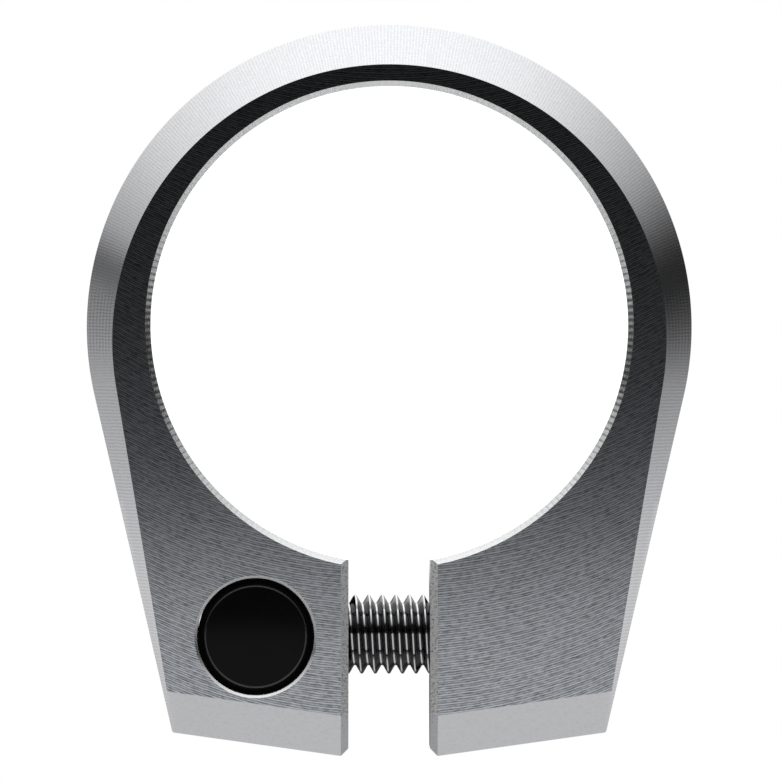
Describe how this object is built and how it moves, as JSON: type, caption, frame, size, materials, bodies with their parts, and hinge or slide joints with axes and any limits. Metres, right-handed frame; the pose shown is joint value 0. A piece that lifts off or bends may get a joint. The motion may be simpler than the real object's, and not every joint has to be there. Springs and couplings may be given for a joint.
{
  "type": "seatpost clamp",
  "caption": "Slotted ring with bevelled faces and two lugs, drawn tight on a seat tube by a cross bolt in a barrel nut.",
  "frame": {"origin": "middle of the bore, on its axis, halfway between the two faces", "axes": "+Z along the bore, +Y away from the lugs, +X from the barrel nut's lug to the bolt head's lug"},
  "size_m": [0.0444, 0.0537, 0.017],
  "materials": {
    "milled_aluminium": "fine milled",
    "black_steel": "black oxide",
    "polished_steel": "polished",
    "plain_steel": "plain"
  },
  "bodies": {
    "band": {"clamp_band": "milled_aluminium"},
    "nut": {"barrel_nut": "black_steel"},
    "washer": {"head_washer": "plain_steel"},
    "bolt": {"clamp_bolt": "polished_steel"}
  },
  "joints": [
    {"name": "nut_pivot", "type": "hinge", "parent": "band", "child": "nut", "pos_m": [-0.0098, -0.02285, 0], "axis": [0, 0, 1], "range_deg": [-0.5, 0.5]},
    {"name": "bolt_travel", "type": "slide", "parent": "nut", "child": "washer", "axis": [1, 0, 0], "range_m": [0, 0.005]},
    {"name": "bolt_turn", "type": "hinge", "parent": "washer", "child": "bolt", "pos_m": [0.01, -0.02285, 0], "axis": [1, 0, 0], "range_deg": [0, 1800]}
  ],
  "couplings": [
    {"joint": "bolt_turn", "follows": "bolt_travel", "rad_per_m": 6283.2}
  ]
}
